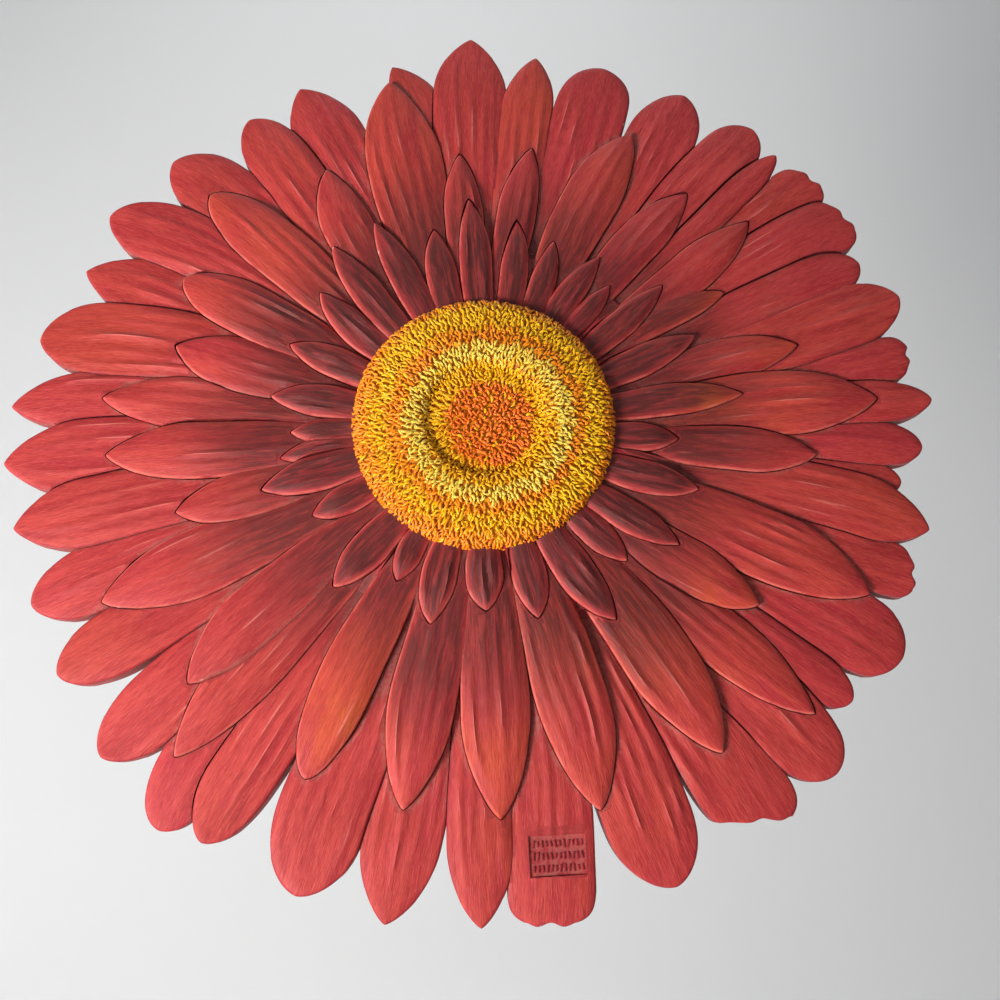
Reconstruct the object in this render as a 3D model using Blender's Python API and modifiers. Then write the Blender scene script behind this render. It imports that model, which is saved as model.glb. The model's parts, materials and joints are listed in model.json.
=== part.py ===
"""A gerbera daisy wall plaque, one painted ceramic casting with a keyhole in its flat back.

The flower is upright, as it hangs: +X is to its right, +Z is up, and its face looks along -Y.
The origin lies on the flat back, behind the middle of the ring of petal tips.
Below, x and y lie in the plane of the back, and height is the distance in front of it.
"""

import math

import bmesh
import bpy

# Sizes of the flower, in metres
FLOWER_RADIUS = 0.150
EYE_RADIUS = 0.0409
EYE_UP = 0.0026
RIM_THICKNESS = 0.0045
FOOT_THICKNESS = 0.0105
PETAL_CROWN = 0.0016
PETAL_STEP = 0.0010
NOTCH_DEPTH = 0.0017

# Heights of the eye above the back, from the foot of its side to the middle of its core
EYE_SHOULDER = 0.0205
EYE_CREST = 0.0230
EYE_DISH = 0.0190
EYE_CORE = 0.0203
FLORET_RELIEF = 0.0008

# The keyhole in the back, for the head and the shank of one wall screw
SCREW_HEAD = 0.0090
SCREW_SHANK = 0.0045
SCREW_CLEARANCE = 0.0010
KEYHOLE_HEIGHT = 0.058
KEYHOLE_RISE = 0.011
KEYHOLE_LIP = 0.0025
KEYHOLE_DEPTH = 0.0070

# The sunk label field on a lower petal
FIELD_WIDTH = 0.0166
FIELD_HEIGHT = 0.0114
FIELD_DEPTH = 0.0007
FIELD_REACH = 0.1290
FIELD_ANGLE = 279.8
FIELD_TURN = 3.0
FIELD_CROWN = 0.85

# How far each ring's lowest petals lie above the ground of the relief
OUTER_LIFT = 0.0002
MIDDLE_LIFT = 0.0031
UPPER_LIFT = 0.0038
INNER_LIFT = 0.0052

# How each ring of petals is laid: where its petals start and how wide they start, as shares,
# where along a petal it is widest, its lift, and its share of the crown
OUTER = {"root": 0.42, "start": 0.62, "widest": 0.74, "lift": OUTER_LIFT, "crown": 1.0}
MIDDLE = {"root": 0.32, "start": 0.60, "widest": 0.62, "lift": MIDDLE_LIFT, "crown": 1.0}
UPPER = {"root": 0.30, "start": 0.62, "widest": 0.58, "lift": UPPER_LIFT, "crown": 1.0}
INNER = {"root": 0.23, "start": 0.70, "widest": 0.52, "lift": INNER_LIFT, "crown": 0.7}

# Shapes of a petal's end: two exponents of the curve from the widest place to the tip
OGIVE = (1.75, 0.85)
ROUND = (2.3, 0.60)
BLUNT = (3.2, 0.55)
NOTCHED = (8.0, 0.45)

# The petals. Each row: angle of the tip in degrees, reach in hundredths of the flower's radius,
# angle where the petal is widest, half of its width in hundredths, its end, and how many steps
# it lies above the ring's lowest petals
PETALS = {
    "outer": (OUTER, (
        (92.0, 101.7, 92.5, 8.6, OGIVE, 1.0),
        (103.3, 96.3, 100.5, 6.3, OGIVE, 0.0),
        (116.6, 97.7, 116.0, 8.0, OGIVE, 0.0),
        (125.0, 95.7, 124.9, 7.1, ROUND, 1.0),
        (137.0, 98.5, 135.5, 8.2, ROUND, 0.0),
        (148.2, 100.0, 146.0, 7.5, ROUND, 1.0),
        (156.2, 97.3, 155.2, 6.9, OGIVE, 0.0),
        (167.0, 99.7, 164.5, 8.5, ROUND, 1.2),
        (176.0, 102.0, 174.3, 6.5, OGIVE, 0.0),
        (183.3, 101.9, 182.8, 8.0, OGIVE, 0.6),
        (191.6, 99.9, 191.3, 7.5, OGIVE, 1.2),
        (201.3, 99.3, 200.8, 7.3, ROUND, 0.0),
        (210.5, 99.2, 210.3, 6.8, ROUND, 0.9),
        (221.2, 100.4, 220.8, 7.2, ROUND, 0.5),
        (231.8, 101.9, 229.6, 6.7, BLUNT, 0.0),
        (236.5, 98.7, 236.0, 6.7, ROUND, 1.2),
        (248.8, 98.8, 248.1, 9.0, ROUND, 0.7),
        (259.2, 99.1, 259.3, 7.7, OGIVE, 0.0),
        (270.0, 98.0, 269.8, 6.5, OGIVE, 1.2),
        (279.0, 99.0, 279.3, 8.3, NOTCHED, 0.9),
        (292.8, 98.2, 292.8, 8.8, ROUND, 0.6),
        (305.4, 96.6, 305.8, 9.0, NOTCHED, 0.0),
        (315.6, 99.2, 316.0, 7.7, BLUNT, 0.8),
        (323.8, 93.2, 323.4, 5.0, BLUNT, 0.5),
        (331.8, 98.2, 332.2, 8.4, BLUNT, 0.0),
        (342.3, 95.5, 342.0, 5.9, OGIVE, 0.3),
        (348.5, 96.7, 349.8, 6.9, OGIVE, 1.2),
        (354.4, 90.3, 354.6, 4.3, BLUNT, 0.0),
        (359.6, 95.3, 360.2, 5.1, BLUNT, 0.5),
        (6.0, 99.1, 6.3, 4.9, ROUND, 1.0),
        (12.6, 97.1, 12.2, 5.3, ROUND, 0.3),
        (20.5, 100.0, 20.0, 7.5, ROUND, 1.4),
        (26.8, 95.6, 27.2, 5.7, BLUNT, 0.9),
        (33.3, 100.3, 34.0, 7.2, BLUNT, 0.5),
        (40.3, 100.8, 40.6, 6.4, BLUNT, 0.1),
        (46.1, 98.4, 46.0, 3.5, ROUND, 0.9),
        (51.0, 100.4, 51.4, 7.1, BLUNT, 0.6),
        (61.5, 99.2, 61.0, 8.1, ROUND, 0.0),
        (73.0, 98.1, 73.0, 8.6, BLUNT, 0.8),
        (82.8, 97.1, 83.1, 6.1, OGIVE, 1.5),
    )),
    "middle": (MIDDLE, (
        (104.3, 91.2, 105.6, 8.7, OGIVE, 0.0),
        (119.4, 73.5, 122.0, 5.7, OGIVE, 0.3),
        (137.2, 84.8, 136.7, 6.7, ROUND, 0.0),
        (151.4, 75.6, 151.2, 6.1, ROUND, 0.6),
        (163.2, 69.7, 163.7, 6.1, OGIVE, 0.6),
        (174.1, 82.0, 173.8, 6.0, OGIVE, 0.0),
        (183.3, 79.7, 183.5, 6.3, OGIVE, 0.6),
        (195.0, 65.9, 195.3, 5.1, OGIVE, 0.6),
        (204.7, 85.3, 205.2, 7.2, OGIVE, 0.0),
        (221.6, 78.4, 220.0, 6.3, OGIVE, 0.8),
        (227.6, 89.6, 226.6, 6.3, OGIVE, 0.0),
        (319.2, 88.3, 318.6, 6.1, OGIVE, 0.0),
        (337.5, 86.8, 338.3, 7.6, OGIVE, 0.4),
        (357.2, 71.1, 357.2, 4.9, OGIVE, 0.8),
        (6.5, 86.3, 7.2, 7.3, OGIVE, 0.4),
        (17.6, 72.4, 18.6, 4.8, OGIVE, 0.0),
        (32.7, 63.3, 34.4, 3.2, OGIVE, 0.2),
        (41.0, 79.6, 40.2, 5.1, OGIVE, 0.0),
        (52.0, 75.1, 53.2, 5.2, OGIVE, 0.0),
        (65.4, 82.1, 67.0, 6.5, OGIVE, 0.6),
    )),
    "upper": (UPPER, (
        (243.8, 78.4, 242.3, 5.9, ROUND, 0.3),
        (258.6, 77.7, 258.0, 6.7, OGIVE, 0.3),
        (272.7, 78.1, 272.5, 6.9, OGIVE, 0.3),
        (286.9, 79.7, 287.9, 7.2, OGIVE, 0.0),
        (306.0, 80.8, 307.0, 7.3, OGIVE, 0.4),
        (327.5, 66.9, 326.2, 5.7, OGIVE, 0.3),
        (81.2, 70.8, 82.2, 4.4, OGIVE, 0.0),
        (94.8, 68.3, 95.2, 4.4, OGIVE, 0.0),
    )),
    "inner": (INNER, (
        (9.7, 56.4, 10.8, 3.6, OGIVE, 0.0),
        (26.5, 51.2, 25.8, 3.5, OGIVE, 0.0),
        (41.6, 52.4, 40.0, 3.2, OGIVE, 0.0),
        (51.3, 44.0, 50.8, 2.5, OGIVE, 0.0),
        (58.3, 48.4, 59.6, 3.1, OGIVE, 0.0),
        (71.2, 47.6, 69.6, 2.9, OGIVE, 0.0),
        (81.8, 50.5, 80.0, 3.1, OGIVE, 0.0),
        (93.7, 55.5, 92.8, 3.6, OGIVE, 0.3),
        (103.3, 48.9, 104.6, 3.5, OGIVE, 0.0),
        (116.5, 55.1, 116.0, 3.5, OGIVE, 0.0),
        (127.8, 54.8, 128.8, 3.6, OGIVE, 0.3),
        (138.2, 48.0, 140.2, 3.5, OGIVE, 0.0),
        (154.7, 46.1, 154.2, 3.5, OGIVE, 0.0),
        (170.2, 45.6, 169.2, 3.6, OGIVE, 0.3),
        (180.5, 40.4, 180.5, 2.9, OGIVE, 0.0),
        (188.0, 42.7, 187.2, 2.7, OGIVE, 0.0),
        (195.7, 47.6, 195.2, 3.9, OGIVE, 0.3),
        (207.6, 39.5, 208.0, 3.2, OGIVE, 0.0),
        (227.5, 44.7, 227.4, 4.0, OGIVE, 0.0),
        (241.4, 36.4, 240.2, 2.8, OGIVE, 0.0),
        (255.4, 41.9, 254.0, 3.7, OGIVE, 0.3),
        (271.0, 38.0, 270.4, 3.9, OGIVE, 0.0),
        (285.7, 40.9, 287.0, 3.6, OGIVE, 0.0),
        (304.2, 47.7, 302.2, 4.1, OGIVE, 0.3),
        (317.0, 40.1, 316.6, 3.3, OGIVE, 0.0),
        (329.3, 46.9, 328.8, 3.5, OGIVE, 0.3),
        (345.0, 46.4, 344.0, 3.6, OGIVE, 0.0),
        (358.5, 41.1, 358.3, 3.2, OGIVE, 0.0),
    )),
}

# Where the facets of a petal lie: shares of its length, then shares of its half-width, each with
# its share of the crown, so that two furrows run beside the midrib
STATIONS = (0.0, 0.54, 0.76, 0.90, 0.975)
WIDE_SECTION = ((-1.0, 0.0), (-0.74, 0.85), (-0.36, 0.68), (0.0, 1.0), (0.36, 0.68), (0.74, 0.85), (1.0, 0.0))
SMALL_STATIONS = (0.0, 0.40, 0.68, 0.92)
SMALL_SECTION = ((-1.0, 0.0), (-0.45, 0.80), (0.0, 1.0), (0.45, 0.80), (1.0, 0.0))
TIP_ROLL = 0.0008

# The ground under the petals: how far it reaches, and how far it lies below the petals' lowest edges
GROUND_SHARE = 0.75
GROUND_DROP = 0.0005

# What stays behind the back until it is cut flat, and how far faces that would coincide are kept apart
BEHIND = 0.0020
BEHIND_SPREAD = 0.00002
APART = 0.0001
CUTTER_HEIGHT = 0.006

# How fine the mesh is
EYE_SEGMENTS = 48
EYE_RINGS = 12
SLIVER = 0.00003
LEVEL_ANGLE = math.radians(1.5)


def to_world(x, y, height):
    """A point of the relief, as it stands in the upright frame."""
    return (x, -height, y)


def ground_height(radius):
    """The ground of the relief rises evenly from the rim to the foot of the eye."""
    share = (FLOWER_RADIUS - radius) / (FLOWER_RADIUS - EYE_RADIUS)
    return RIM_THICKNESS + (FOOT_THICKNESS - RIM_THICKNESS) * share


def petal_width(share, ring, end):
    """Half of the width at a share of the length, as a share of the half-width at the widest place."""
    widest, start = ring["widest"], ring["start"]
    if share < widest:
        return start + (1.0 - start) * math.sin(0.5 * math.pi * share / widest)
    beyond = (share - widest) / (1.0 - widest)
    return max(0.0, 1.0 - beyond ** end[0]) ** end[1]


def petal_axis(share, ring, petal):
    """The point of the midrib at a share of the petal's length."""
    tip_angle, reach, wide_angle = petal[:3]
    root = ring["root"] * FLOWER_RADIUS
    radius = root + (reach * 0.01 * FLOWER_RADIUS - root) * share
    lean = (wide_angle - tip_angle) * (1.0 - share ** 2) / (1.0 - ring["widest"] ** 2)
    angle = math.radians(tip_angle + lean)
    return radius * math.cos(angle), radius * math.sin(angle)


def petal_point(share, across, crown_share, ring, petal):
    """A point of the petal's surface: share along it, and across from -1 to 1 of its half-width."""
    half_width, end, steps = petal[3] * 0.01 * FLOWER_RADIUS, petal[4], petal[5]
    x, y = petal_axis(share, ring, petal)
    back_x, back_y = petal_axis(share - 0.01, ring, petal)
    length = math.hypot(x - back_x, y - back_y)
    along_x, along_y = (x - back_x) / length, (y - back_y) / length
    width = petal_width(share, ring, end)
    offset = across * half_width * width
    shift = 0.0
    if end is NOTCHED:
        shift = -NOTCH_DEPTH * math.cos(2.0 * math.pi * across) * max(0.0, (share - 0.8) / 0.2) ** 2
    height = ground_height(math.hypot(x, y)) + ring["lift"] + steps * PETAL_STEP
    height += crown_share * PETAL_CROWN * ring["crown"] * width ** 0.6
    height -= TIP_ROLL * max(0.0, (share - 0.7) / 0.3) ** 2
    return x - along_y * offset + along_x * shift, y + along_x * offset + along_y * shift, height


def new_object(name, mesh, collection, material=None):
    obj = bpy.data.objects.new(name, mesh)
    collection.objects.link(obj)
    if material:
        mesh.materials.append(material)
    return obj


def make_petal(name, ring, petal, stations, section, behind, collection, material):
    """A closed solid petal: its carved top, its side walls, and a flat underside behind the back."""
    shape = bmesh.new()
    rows = []
    for share in stations:
        points = [petal_point(share, across, crown, ring, petal) for across, crown in section]
        rows.append([shape.verts.new(to_world(*point)) for point in points])
    tip = petal_point(1.0, 0.0, 0.0, ring, petal)
    tip_vert = shape.verts.new(to_world(*tip))
    for near, far in zip(rows, rows[1:]):
        for i in range(len(section) - 1):
            shape.faces.new((near[i], near[i + 1], far[i + 1], far[i]))
    for i in range(len(section) - 1):
        shape.faces.new((rows[-1][i], rows[-1][i + 1], tip_vert))
    outline = [row[0] for row in rows] + [tip_vert] + [row[-1] for row in reversed(rows)]
    outline += rows[0][-2:0:-1]
    under = [shape.verts.new((vert.co.x, behind, vert.co.z)) for vert in outline]
    for i in range(len(outline)):
        after = (i + 1) % len(outline)
        shape.faces.new((outline[i], outline[after], under[after], under[i]))
    shape.faces.new(under)
    bmesh.ops.recalc_face_normals(shape, faces=shape.faces)
    mesh = bpy.data.meshes.new(name)
    shape.to_mesh(mesh)
    shape.free()
    return new_object(name, mesh, collection, material)


def make_petals(collection, material):
    """Every petal of the four rings. Their undersides differ a little, so that no two are in one plane."""
    count = 0
    for ring_name, (ring, petals) in PETALS.items():
        small = ring_name == "inner"
        stations = SMALL_STATIONS if small else STATIONS
        section = SMALL_SECTION if small else WIDE_SECTION
        for i, petal in enumerate(petals):
            count += 1
            name = f"{ring_name}_petal_{i + 1}"
            behind = BEHIND + BEHIND_SPREAD * count
            make_petal(name, ring, petal, stations, section, behind, collection, material)


def eye_height(share):
    """Height of the eye at a share of its radius: a low core, a dish, a crest and a falling shoulder."""
    places = (0.0, 0.27, 0.42, 0.50, 0.63, 0.90, 1.0)
    heights = (
        EYE_CORE, EYE_CORE, EYE_DISH, EYE_CREST, EYE_CREST, EYE_SHOULDER,
        0.5 * (EYE_SHOULDER + FOOT_THICKNESS + INNER_LIFT),
    )
    for i in range(len(places) - 1):
        if share <= places[i + 1]:
            part = (share - places[i]) / (places[i + 1] - places[i])
            return heights[i] + (heights[i + 1] - heights[i]) * part
    return heights[-1]


def eye_profile():
    """The turned outline of the ground and the eye, as radius and height, from the middle outwards."""
    shares = [ring / EYE_RINGS for ring in range(EYE_RINGS + 1)]
    ground_edge = GROUND_SHARE * FLOWER_RADIUS
    return [(share * EYE_RADIUS, eye_height(share)) for share in shares] + [
        (EYE_RADIUS, FOOT_THICKNESS - GROUND_DROP),
        (ground_edge, ground_height(ground_edge) - GROUND_DROP),
        (ground_edge, -0.5 * BEHIND), (0.0, -0.5 * BEHIND),
    ]


def make_ground_and_eye(collection, material):
    """The turned ground with the eye on it, its rings roughened into a first hint of the florets."""
    mesh = bpy.data.meshes.new("ground_profile")
    points = [to_world(radius, 0.0, height) for radius, height in eye_profile()]
    mesh.from_pydata(points, [(i, i + 1) for i in range(len(points) - 1)], [])
    profile = new_object("ground_profile", mesh, collection, material)
    screw = profile.modifiers.new("turn", "SCREW")
    screw.axis = "Y"
    screw.steps = EYE_SEGMENTS
    screw.render_steps = EYE_SEGMENTS
    screw.use_merge_vertices = True
    screw.merge_threshold = 0.00005
    bpy.context.view_layer.update()
    turned = bpy.data.meshes.new_from_object(profile.evaluated_get(bpy.context.evaluated_depsgraph_get()))
    bpy.data.objects.remove(profile)
    for vert in turned.vertices:
        ring = round(math.hypot(vert.co.x, vert.co.z) / EYE_RADIUS * EYE_RINGS)
        if 0 < ring < EYE_RINGS and -vert.co.y > FOOT_THICKNESS:
            turn = round(math.atan2(vert.co.z, vert.co.x) / (2.0 * math.pi) * EYE_SEGMENTS)
            vert.co.y += FLORET_RELIEF if (turn + ring) % 2 else -FLORET_RELIEF
    for vert in turned.vertices:
        if -vert.co.y > FOOT_THICKNESS - 2.0 * GROUND_DROP:
            vert.co.z += EYE_UP
    shape = bmesh.new()
    shape.from_mesh(turned)
    bmesh.ops.remove_doubles(shape, verts=shape.verts, dist=0.00001)
    bmesh.ops.recalc_face_normals(shape, faces=shape.faces)
    shape.to_mesh(turned)
    shape.free()
    return new_object("ground_and_eye", turned, collection)


def make_block(name, size, centre, collection, turn=0.0, tilt=0.0):
    """A box cutter: size and centre in the plane of the back and in height, turned in that plane."""
    shape = bmesh.new()
    bmesh.ops.create_cube(shape, size=1.0)
    mesh = bpy.data.meshes.new(name)
    shape.to_mesh(mesh)
    shape.free()
    obj = new_object(name, mesh, collection)
    obj.scale = (size[0], size[2], size[1])
    obj.location = to_world(*centre)
    obj.rotation_mode = "YXZ"
    obj.rotation_euler = (tilt, -turn, 0.0)
    return obj


def make_disc(name, radius, from_height, to_height, x, y, collection):
    """A round cutter that stands square to the back."""
    shape = bmesh.new()
    bmesh.ops.create_cone(
        shape, cap_ends=True, segments=24, radius1=radius, radius2=radius, depth=to_height - from_height)
    mesh = bpy.data.meshes.new(name)
    shape.to_mesh(mesh)
    shape.free()
    obj = new_object(name, mesh, collection)
    obj.rotation_euler = (0.5 * math.pi, 0.0, 0.0)
    obj.location = to_world(x, y, 0.5 * (from_height + to_height))
    return obj


def boolean(target, operation, operands):
    """Joins the collection of operands to the target, or cuts it away, and keeps the result as its mesh."""
    modifier = target.modifiers.new(operation.lower(), "BOOLEAN")
    modifier.operation = operation
    modifier.solver = "EXACT"
    modifier.operand_type = "COLLECTION"
    modifier.collection = operands
    bpy.context.view_layer.update()
    result = bpy.data.meshes.new_from_object(target.evaluated_get(bpy.context.evaluated_depsgraph_get()))
    target.modifiers.clear()
    target.data = result


def make_keyhole(collection):
    """The keyhole's entry, its slot through the lip, and the room behind the lip where the head slides up."""
    entry = 0.5 * SCREW_HEAD + SCREW_CLEARANCE
    slot = SCREW_SHANK + SCREW_CLEARANCE
    top = KEYHOLE_HEIGHT + KEYHOLE_RISE
    make_disc("keyhole_entry", entry, -BEHIND, KEYHOLE_DEPTH, 0.0, KEYHOLE_HEIGHT, collection)
    make_block(
        "keyhole_slot", (slot, KEYHOLE_RISE, KEYHOLE_DEPTH),
        (0.0, KEYHOLE_HEIGHT + 0.5 * KEYHOLE_RISE, 0.5 * KEYHOLE_DEPTH - BEHIND), collection)
    make_disc("keyhole_slot_end", 0.5 * slot, -BEHIND, KEYHOLE_DEPTH - 2.0 * APART, 0.0, top, collection)
    room_depth = KEYHOLE_DEPTH - KEYHOLE_LIP - APART
    make_block(
        "keyhole_room", (2.0 * (entry - APART), KEYHOLE_RISE, room_depth),
        (0.0, KEYHOLE_HEIGHT + 0.5 * KEYHOLE_RISE, KEYHOLE_LIP + 0.5 * room_depth), collection)


def make_field(collection):
    """The cutter of the sunk field, laid along the face of its petal."""
    ring, petals = PETALS["outer"]
    steps = min(petals, key=lambda petal: abs(petal[0] - FIELD_ANGLE))[5]
    face = ground_height(FIELD_REACH) + ring["lift"] + steps * PETAL_STEP + FIELD_CROWN * PETAL_CROWN
    middle = face - FIELD_DEPTH + 0.5 * CUTTER_HEIGHT
    angle = math.radians(FIELD_ANGLE)
    slope = (FOOT_THICKNESS - RIM_THICKNESS) / (FLOWER_RADIUS - EYE_RADIUS)
    centre = (FIELD_REACH * math.cos(angle), FIELD_REACH * math.sin(angle), middle)
    make_block(
        "label_field", (FIELD_WIDTH, FIELD_HEIGHT, CUTTER_HEIGHT), centre, collection,
        math.radians(FIELD_TURN), math.atan(slope))


def principled(name, colour, roughness):
    material = bpy.data.materials.new(name)
    material.use_nodes = True
    shader = material.node_tree.nodes["Principled BSDF"]
    shader.inputs["Base Color"].default_value = (*colour, 1.0)
    shader.inputs["Roughness"].default_value = roughness
    shader.inputs["Metallic"].default_value = 0.0
    material.diffuse_color = (*colour, 1.0)
    return material


def clear_objects():
    for obj in list(bpy.data.objects):
        bpy.data.objects.remove(obj)


def new_collection(name, hidden):
    collection = bpy.data.collections.new(name)
    bpy.context.scene.collection.children.link(collection)
    collection.hide_render = hidden
    return collection


def remove_all(collection):
    for obj in list(collection.objects):
        bpy.data.objects.remove(obj)


def colour_faces(mesh, petal_paint, eye_paint):
    """The eye is painted yellow and the rest of the casting red."""
    mesh.materials.clear()
    mesh.materials.append(petal_paint)
    mesh.materials.append(eye_paint)
    for face in mesh.polygons:
        radius = math.hypot(face.center.x, face.center.z - EYE_UP)
        face.material_index = int(radius < EYE_RADIUS and -face.center.y > FOOT_THICKNESS + INNER_LIFT)


def tidy_mesh(mesh):
    """Closes up slivers that the joins leave, and takes out edges between nearly level facets."""
    shape = bmesh.new()
    shape.from_mesh(mesh)
    bmesh.ops.remove_doubles(shape, verts=shape.verts, dist=SLIVER)
    bmesh.ops.dissolve_degenerate(shape, edges=shape.edges, dist=SLIVER)
    bmesh.ops.dissolve_limit(shape, angle_limit=LEVEL_ANGLE, verts=shape.verts, edges=shape.edges)
    bmesh.ops.triangulate(shape, faces=shape.faces)
    shape.to_mesh(mesh)
    shape.free()


def main():
    clear_objects()
    plaque_collection = new_collection("Gerbera plaque", False)
    petal_collection = new_collection("Petals to join", True)
    back_collection = new_collection("Cutters of the back", True)
    petal_paint = principled("red petal paint", (0.42, 0.035, 0.035), 0.6)
    eye_paint = principled("yellow eye paint", (0.80, 0.42, 0.02), 0.6)

    plaque = make_ground_and_eye(plaque_collection, eye_paint)
    plaque.name = "gerbera_plaque"
    make_petals(petal_collection, petal_paint)
    boolean(plaque, "UNION", petal_collection)
    remove_all(petal_collection)

    side = 3.0 * FLOWER_RADIUS
    make_block("wall_side", (side, side, side), (0.0, 0.0, -0.5 * side), back_collection)
    make_field(back_collection)
    boolean(plaque, "DIFFERENCE", back_collection)
    remove_all(back_collection)
    make_keyhole(back_collection)
    boolean(plaque, "DIFFERENCE", back_collection)
    for cutter in back_collection.objects:
        cutter.hide_render = True
        cutter.display_type = "WIRE"

    tidy_mesh(plaque.data)
    colour_faces(plaque.data, petal_paint, eye_paint)


main()
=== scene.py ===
"""The looks of a gerbera daisy wall plaque: one painted casting, upright before a pale wall.

The relief piece repeats the solid's petals with finer folds, edges and paint, and the florets lie on
its eye. Sizes are in metres, and heights are distances in front of the flat back, as in the solid.
"""

import json
import math

import bmesh
import bpy
import numpy as np
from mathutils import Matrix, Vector

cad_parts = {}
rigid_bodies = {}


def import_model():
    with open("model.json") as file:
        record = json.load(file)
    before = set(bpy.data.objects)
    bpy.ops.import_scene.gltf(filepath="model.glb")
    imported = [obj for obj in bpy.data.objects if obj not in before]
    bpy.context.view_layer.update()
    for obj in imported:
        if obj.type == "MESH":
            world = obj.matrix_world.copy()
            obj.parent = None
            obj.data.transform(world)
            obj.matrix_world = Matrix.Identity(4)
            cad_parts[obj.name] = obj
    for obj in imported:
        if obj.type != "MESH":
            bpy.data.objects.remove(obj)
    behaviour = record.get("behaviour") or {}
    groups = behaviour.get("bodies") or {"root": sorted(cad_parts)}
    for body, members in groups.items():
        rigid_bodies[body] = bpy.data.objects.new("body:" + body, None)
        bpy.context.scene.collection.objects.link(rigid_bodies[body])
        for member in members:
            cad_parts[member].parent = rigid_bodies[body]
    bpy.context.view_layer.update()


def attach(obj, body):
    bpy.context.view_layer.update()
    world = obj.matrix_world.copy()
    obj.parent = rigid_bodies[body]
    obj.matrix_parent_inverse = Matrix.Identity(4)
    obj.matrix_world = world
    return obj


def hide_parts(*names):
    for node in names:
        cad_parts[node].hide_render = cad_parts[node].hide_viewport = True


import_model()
NODE = "gerbera_plaque"
MM = 0.001

# The relief's material slots
PETAL, EYE, BACK, GROOVE = range(4)

# Sizes of the flower, as in the solid, but for a shallower dish and core of the eye
FLOWER_RADIUS = 0.150
EYE_RADIUS = 0.0409
EYE_UP = 0.0026
RIM_THICKNESS = 0.0045
FOOT_THICKNESS = 0.0105
PETAL_STEP = 0.0007
NOTCH_DEPTH = 0.0017
TIP_ROLL = 0.0008
GROUND_SHARE = 0.75
GROUND_DROP = 0.0005
EYE_SHOULDER = 0.0205
EYE_CREST = 0.0230
EYE_DISH = 0.0200
EYE_CORE = 0.0207

# The back's keyhole and the sunk label field, as in the solid
KEYHOLE_ENTRY = 0.0055
KEYHOLE_SLOT = 0.0055
KEYHOLE_HEIGHT = 0.058
KEYHOLE_RISE = 0.011
KEYHOLE_LIP = 0.0025
KEYHOLE_DEPTH = 0.0070
FIELD_WIDTH = 0.0166
FIELD_HEIGHT = 0.0114
FIELD_DEPTH = 0.0007
FIELD_REACH = 0.1290
FIELD_ANGLE = 279.8
FIELD_TURN = 3.0

# The finer form of a petal: its rolled edge, its folds, the inset of its wall and its uneven lie
EDGE_ROLL = 0.0008
EDGE_RISE = 0.0007
FOLD_HEIGHT = 0.00095
FOLD_HALF_WIDTH = 0.00150
FOLD_SPACING = 0.0024
COLUMN_STEP = 0.00098
UNDERCUT = 0.0009
WALL_HEIGHT = 0.0024
OUTER_WALL_HEIGHT = 0.0010
LIE = 0.00040

# The groove cut round each petal, the roots' start as a share of the eye, and the ground's collar
GROOVE_WIDTH = 0.00026
GROOVE_DEPTH = 0.0017
GROOVE_ROOM = 0.008
ROOT_REACH = 0.93
COLLAR_HEIGHT = 0.0066
COLLAR_REACH = 0.090

# Petals of one ring are laid in three goes: below, between and above these steps
LEVEL_LIMITS = (0.25, 0.75)

# The florets of the eye
FLORETS = 4000
FLORET_LENGTH = 0.0028
FLORET_WIDTH = 0.00041
FLORET_LIFT = 0.0008
FLORET_SIDES = 6
GOLDEN_ANGLE = math.radians(137.508)

# Along a floret: share of the length, share of the lift, and share of the width
FLORET_STATIONS = ((0.0, -0.25, 0.0), (0.12, 0.10, 0.70), (0.35, 0.62, 1.0), (0.62, 0.95, 1.0),
                   (0.86, 1.0, 0.75), (1.0, 0.86, 0.0))

# The rings of petals, as in the solid, but with lower edges, higher domes and a few more notched ends
OUTER = {"root": 0.42, "start": 0.62, "widest": 0.74, "lift": 0.0004, "dome": 0.0009, "rows": 44,
         "number": 0}
MIDDLE = {"root": 0.32, "start": 0.60, "widest": 0.62, "lift": 0.0024, "dome": 0.0014, "rows": 44,
          "number": 1}
UPPER = {"root": 0.30, "start": 0.62, "widest": 0.58, "lift": 0.0031, "dome": 0.0014, "rows": 44,
         "number": 2}
INNER = {"root": 0.23, "start": 0.70, "widest": 0.52, "lift": 0.0046, "dome": 0.0009, "rows": 28,
         "number": 3}
OGIVE = (1.85, 0.76)
ROUND = (2.3, 0.60)
BLUNT = (3.2, 0.55)
NOTCHED = (8.0, 0.45)

# How far the cut end of each notched petal leans, by the angle of its tip, in notch depths
SLANTS = {277.7: -0.3, 305.4: 2.7, 342.3: -0.8, 12.6: 0.5, 33.3: -0.7, 40.3: -0.6}

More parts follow.
